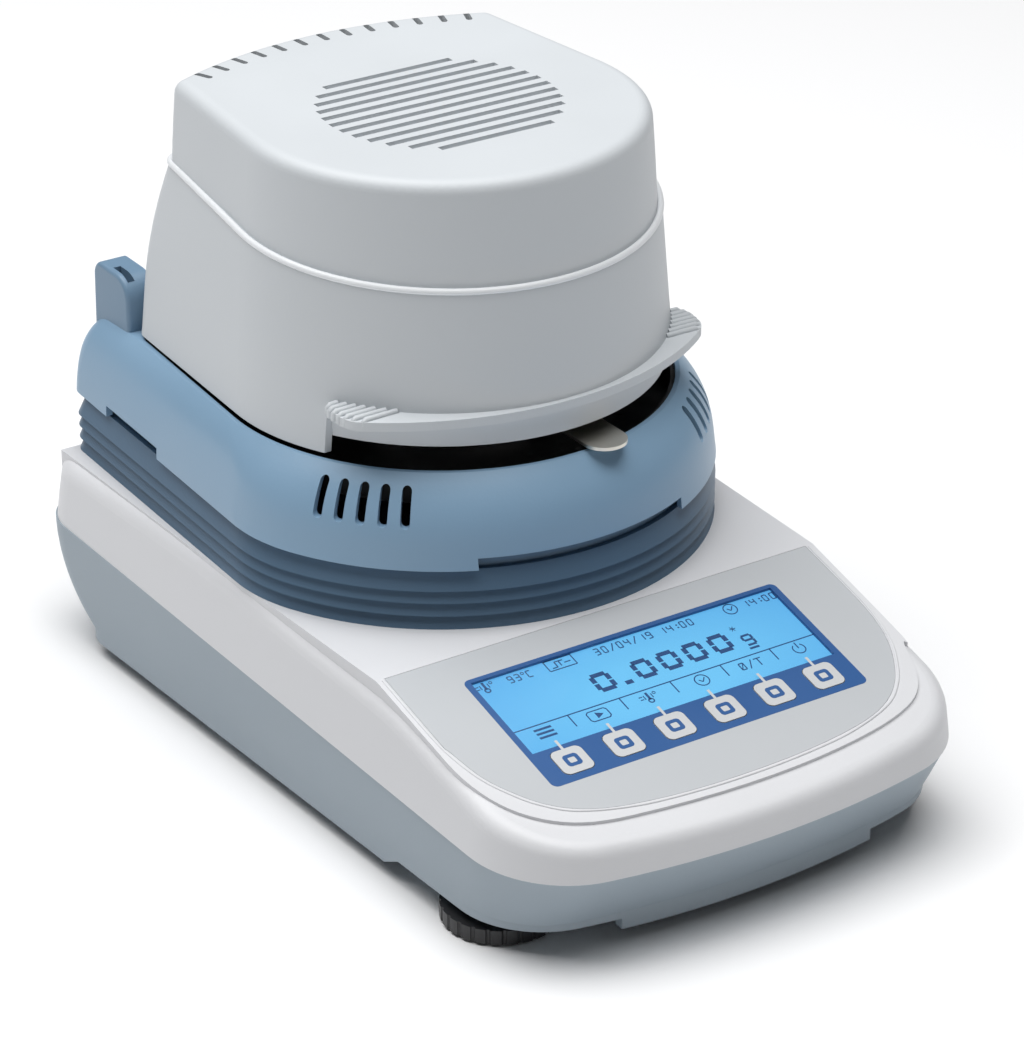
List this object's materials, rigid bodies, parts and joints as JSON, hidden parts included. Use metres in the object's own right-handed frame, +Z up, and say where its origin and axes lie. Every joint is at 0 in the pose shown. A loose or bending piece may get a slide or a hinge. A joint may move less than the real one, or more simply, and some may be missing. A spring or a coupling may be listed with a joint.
{
  "type": "moisture analyzer",
  "caption": "Bench moisture analyzer: heated hood on a rear hinge over a weighing pan, ribbed collar, sloping display panel with membrane keys and levelling feet.",
  "frame": {"origin": "middle of the footprint, on the bench", "axes": "+Z up, front of the instrument faces -Y, +X to the user's right"},
  "size_m": [0.2012, 0.3191, 0.2173],
  "materials": {
    "white_shell": "fine texture",
    "grey_tray": "fine texture",
    "blue_grey": "satin",
    "collar_grey": "satin",
    "film": "satin film",
    "clear_window": "clear",
    "lcd": "lit",
    "board": "lacquered",
    "dark_part": "moulded",
    "key_film": "film",
    "aluminium": "rolled",
    "cast_metal": "cast",
    "steel": "brushed",
    "brass": "turned",
    "rubber": "matt",
    "glass": "clear",
    "black_enamel": "matt enamel"
  },
  "bodies": {
    "base": {"base_tray": "grey_tray", "base_cover": "white_shell", "panel_overlay": "film", "display_window": "clear_window", "lcd_module": "lcd", "display_board": "board", "key_domes": "steel", "ribbed_collar": "collar_grey", "chamber_cover": "blue_grey", "hinge_housing": "blue_grey", "heat_shield": "black_enamel", "draft_shield": "steel", "cell_casting": "cast_metal", "load_cell": "aluminium", "main_board": "board", "power_supply": "board", "power_inlet": "dark_part", "serial_port": "steel", "usb_port": "steel", "threaded_inserts": "brass", "base_screws": "steel", "collar_screws": "steel", "hinge_pins": "steel"},
    "hood": {"hood_body": "white_shell", "hood_top": "white_shell", "hood_liner": "aluminium", "reflector": "aluminium", "heating_lamp": "glass", "lamp_holders": "dark_part", "protective_glass": "glass", "glass_retainer": "steel", "temperature_sensor": "steel", "hinge_bushes": "dark_part"},
    "weighing": {"weighing_stem": "aluminium", "pan_support": "steel"},
    "pan_set": {"sample_pan": "aluminium", "pan_handler": "steel"},
    "key_1": {"key_1": "key_film"},
    "key_2": {"key_2": "key_film"},
    "key_3": {"key_3": "key_film"},
    "key_4": {"key_4": "key_film"},
    "key_5": {"key_5": "key_film"},
    "key_6": {"key_6": "key_film"},
    "pad_1": {"foot_pad_1": "rubber"},
    "wheel_1": {"foot_wheel_1": "dark_part"},
    "pad_2": {"foot_pad_2": "rubber"},
    "wheel_2": {"foot_wheel_2": "dark_part"},
    "pad_3": {"foot_pad_3": "rubber"},
    "wheel_3": {"foot_wheel_3": "dark_part"},
    "pad_4": {"foot_pad_4": "rubber"},
    "wheel_4": {"foot_wheel_4": "dark_part"}
  },
  "joints": [
    {"name": "hood_hinge", "type": "hinge", "parent": "base", "child": "hood", "pos_m": [0, 0.1335, 0.131], "axis": [-1, 0, 0], "range_deg": [0, 75]},
    {"name": "weighing_travel", "type": "slide", "parent": "base", "child": "weighing", "axis": [0, 0, 1], "range_m": [-0.0005, 0], "stiffness_N_per_m": 8000},
    {"name": "pan_lift", "type": "slide", "parent": "weighing", "child": "pan_set", "axis": [0, 0, 1], "range_m": [0, 0.0025]},
    {"name": "key_1_press", "type": "slide", "parent": "base", "child": "key_1", "axis": [0, -0.2367, 0.9716], "range_m": [-0.0004, 0], "stiffness_N_per_m": 3000},
    {"name": "key_2_press", "type": "slide", "parent": "base", "child": "key_2", "axis": [0, -0.2367, 0.9716], "range_m": [-0.0004, 0], "stiffness_N_per_m": 3000},
    {"name": "key_3_press", "type": "slide", "parent": "base", "child": "key_3", "axis": [0, -0.2367, 0.9716], "range_m": [-0.0004, 0], "stiffness_N_per_m": 3000},
    {"name": "key_4_press", "type": "slide", "parent": "base", "child": "key_4", "axis": [0, -0.2367, 0.9716], "range_m": [-0.0004, 0], "stiffness_N_per_m": 3000},
    {"name": "key_5_press", "type": "slide", "parent": "base", "child": "key_5", "axis": [0, -0.2367, 0.9716], "range_m": [-0.0004, 0], "stiffness_N_per_m": 3000},
    {"name": "key_6_press", "type": "slide", "parent": "base", "child": "key_6", "axis": [0, -0.2367, 0.9716], "range_m": [-0.0004, 0], "stiffness_N_per_m": 3000},
    {"name": "foot_1_height", "type": "slide", "parent": "base", "child": "pad_1", "axis": [0, 0, 1], "range_m": [-0.0025, 0.0025]},
    {"name": "foot_1_turn", "type": "hinge", "parent": "pad_1", "child": "wheel_1", "pos_m": [-0.0726, -0.1073, 0.0034], "axis": [0, 0, 1], "range_deg": [-780, 780]},
    {"name": "foot_2_height", "type": "slide", "parent": "base", "child": "pad_2", "axis": [0, 0, 1], "range_m": [-0.0025, 0.0025]},
    {"name": "foot_2_turn", "type": "hinge", "parent": "pad_2", "child": "wheel_2", "pos_m": [0.0726, -0.1073, 0.0034], "axis": [0, 0, 1], "range_deg": [-780, 780]},
    {"name": "foot_3_height", "type": "slide", "parent": "base", "child": "pad_3", "axis": [0, 0, 1], "range_m": [-0.0025, 0.0025]},
    {"name": "foot_3_turn", "type": "hinge", "parent": "pad_3", "child": "wheel_3", "pos_m": [-0.07, 0.1, 0.0034], "axis": [0, 0, 1], "range_deg": [-780, 780]},
    {"name": "foot_4_height", "type": "slide", "parent": "base", "child": "pad_4", "axis": [0, 0, 1], "range_m": [-0.0025, 0.0025]},
    {"name": "foot_4_turn", "type": "hinge", "parent": "pad_4", "child": "wheel_4", "pos_m": [0.07, 0.1, 0.0034], "axis": [0, 0, 1], "range_deg": [-780, 780]}
  ],
  "couplings": [
    {"joint": "foot_1_turn", "follows": "foot_1_height", "rad_per_m": 5026.5},
    {"joint": "foot_2_turn", "follows": "foot_2_height", "rad_per_m": 5026.5},
    {"joint": "foot_3_turn", "follows": "foot_3_height", "rad_per_m": 5026.5},
    {"joint": "foot_4_turn", "follows": "foot_4_height", "rad_per_m": 5026.5}
  ]
}
